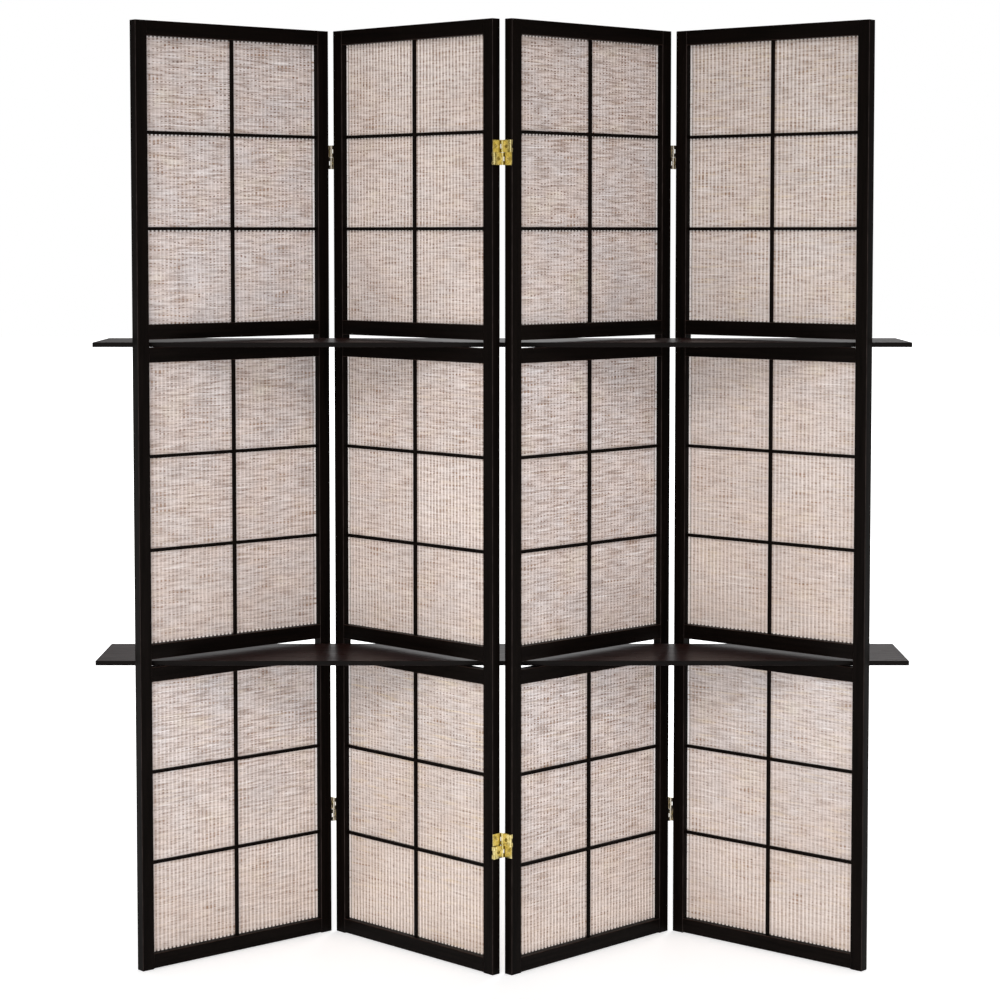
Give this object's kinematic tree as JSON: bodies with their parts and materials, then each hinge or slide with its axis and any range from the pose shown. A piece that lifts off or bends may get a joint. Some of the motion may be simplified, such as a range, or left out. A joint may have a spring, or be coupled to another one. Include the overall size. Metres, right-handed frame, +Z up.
{
  "type": "folding screen",
  "caption": "Free-standing folding room divider of hinged dark wood panels with woven fabric behind a lattice and long shelves through slots.",
  "frame": {"origin": "on the floor, under the middle of the standing screen's outer box", "axes": "+Z up, +X along the shelves, front of the screen towards -Y"},
  "size_m": [1.53, 0.3452, 1.778],
  "materials": {
    "frame_wood": "satin dark espresso lacquer",
    "lattice_wood": "satin dark espresso lacquer",
    "shelf_wood": "satin dark espresso lacquer",
    "dowel_wood": "bare beech",
    "fabric": "woven slub yarn with upright ribs",
    "brass": "bright plated"
  },
  "bodies": {
    "panel_1": {"panel_1_left_stile": "frame_wood", "panel_1_right_stile": "frame_wood", "panel_1_top_rail": "frame_wood", "panel_1_upper_slot_rails": "frame_wood", "panel_1_lower_slot_rails": "frame_wood", "panel_1_bottom_rail": "frame_wood", "panel_1_lattice_bars": "lattice_wood", "panel_1_fabric_panels": "fabric", "panel_1_fabric_beads": "lattice_wood", "panel_1_rail_dowels": "dowel_wood", "panel_1_hinge_leaves": "brass", "panel_1_hinge_links": "brass", "panel_1_hinge_pins": "brass", "panel_1_hinge_screws": "brass"},
    "panel_2": {"panel_2_left_stile": "frame_wood", "panel_2_right_stile": "frame_wood", "panel_2_top_rail": "frame_wood", "panel_2_upper_slot_rails": "frame_wood", "panel_2_lower_slot_rails": "frame_wood", "panel_2_bottom_rail": "frame_wood", "panel_2_lattice_bars": "lattice_wood", "panel_2_fabric_panels": "fabric", "panel_2_fabric_beads": "lattice_wood", "panel_2_rail_dowels": "dowel_wood", "panel_2_hinge_leaves": "brass", "panel_2_hinge_links": "brass", "panel_2_hinge_pins": "brass", "panel_2_hinge_screws": "brass"},
    "panel_3": {"panel_3_left_stile": "frame_wood", "panel_3_right_stile": "frame_wood", "panel_3_top_rail": "frame_wood", "panel_3_upper_slot_rails": "frame_wood", "panel_3_lower_slot_rails": "frame_wood", "panel_3_bottom_rail": "frame_wood", "panel_3_lattice_bars": "lattice_wood", "panel_3_fabric_panels": "fabric", "panel_3_fabric_beads": "lattice_wood", "panel_3_rail_dowels": "dowel_wood", "panel_3_hinge_leaves": "brass", "panel_3_hinge_links": "brass", "panel_3_hinge_pins": "brass", "panel_3_hinge_screws": "brass"},
    "panel_4": {"panel_4_left_stile": "frame_wood", "panel_4_right_stile": "frame_wood", "panel_4_top_rail": "frame_wood", "panel_4_upper_slot_rails": "frame_wood", "panel_4_lower_slot_rails": "frame_wood", "panel_4_bottom_rail": "frame_wood", "panel_4_lattice_bars": "lattice_wood", "panel_4_fabric_panels": "fabric", "panel_4_fabric_beads": "lattice_wood", "panel_4_rail_dowels": "dowel_wood", "panel_4_hinge_leaves": "brass", "panel_4_hinge_links": "brass", "panel_4_hinge_pins": "brass", "panel_4_hinge_screws": "brass"},
    "lower_shelf": {"lower_shelf": "shelf_wood"},
    "upper_shelf": {"upper_shelf": "shelf_wood"}
  },
  "joints": [
    {"name": "panel_3_hinge", "type": "hinge", "parent": "panel_2", "child": "panel_3", "pos_m": [0, -0.15568, 0], "axis": [0, 0, 1], "range_deg": [-3, 88]},
    {"name": "panel_1_hinge", "type": "hinge", "parent": "panel_2", "child": "panel_1", "pos_m": [-0.33431, 0.15455, 0], "axis": [0, 0, 1], "range_deg": [-3.16, 92.46]},
    {"name": "panel_4_hinge", "type": "hinge", "parent": "panel_3", "child": "panel_4", "pos_m": [0.33431, 0.15455, 0], "axis": [0, 0, 1], "range_deg": [-92.46, 3.16]},
    {"name": "lower_shelf_turn", "type": "hinge", "parent": "panel_2", "child": "lower_shelf", "pos_m": [-0.16716, -0.00056, 0], "axis": [0, 0, 1], "range_deg": [-1.51, 44.01]},
    {"name": "upper_shelf_slide", "type": "slide", "parent": "lower_shelf", "child": "upper_shelf", "axis": [1, 0, 0], "range_m": [0, 0.45]}
  ],
  "couplings": [
    {"joint": "panel_1_hinge", "follows": "panel_3_hinge", "ratio": 1.0506},
    {"joint": "panel_4_hinge", "follows": "panel_3_hinge", "ratio": -1.0506},
    {"joint": "lower_shelf_turn", "follows": "panel_3_hinge", "ratio": 0.5}
  ]
}
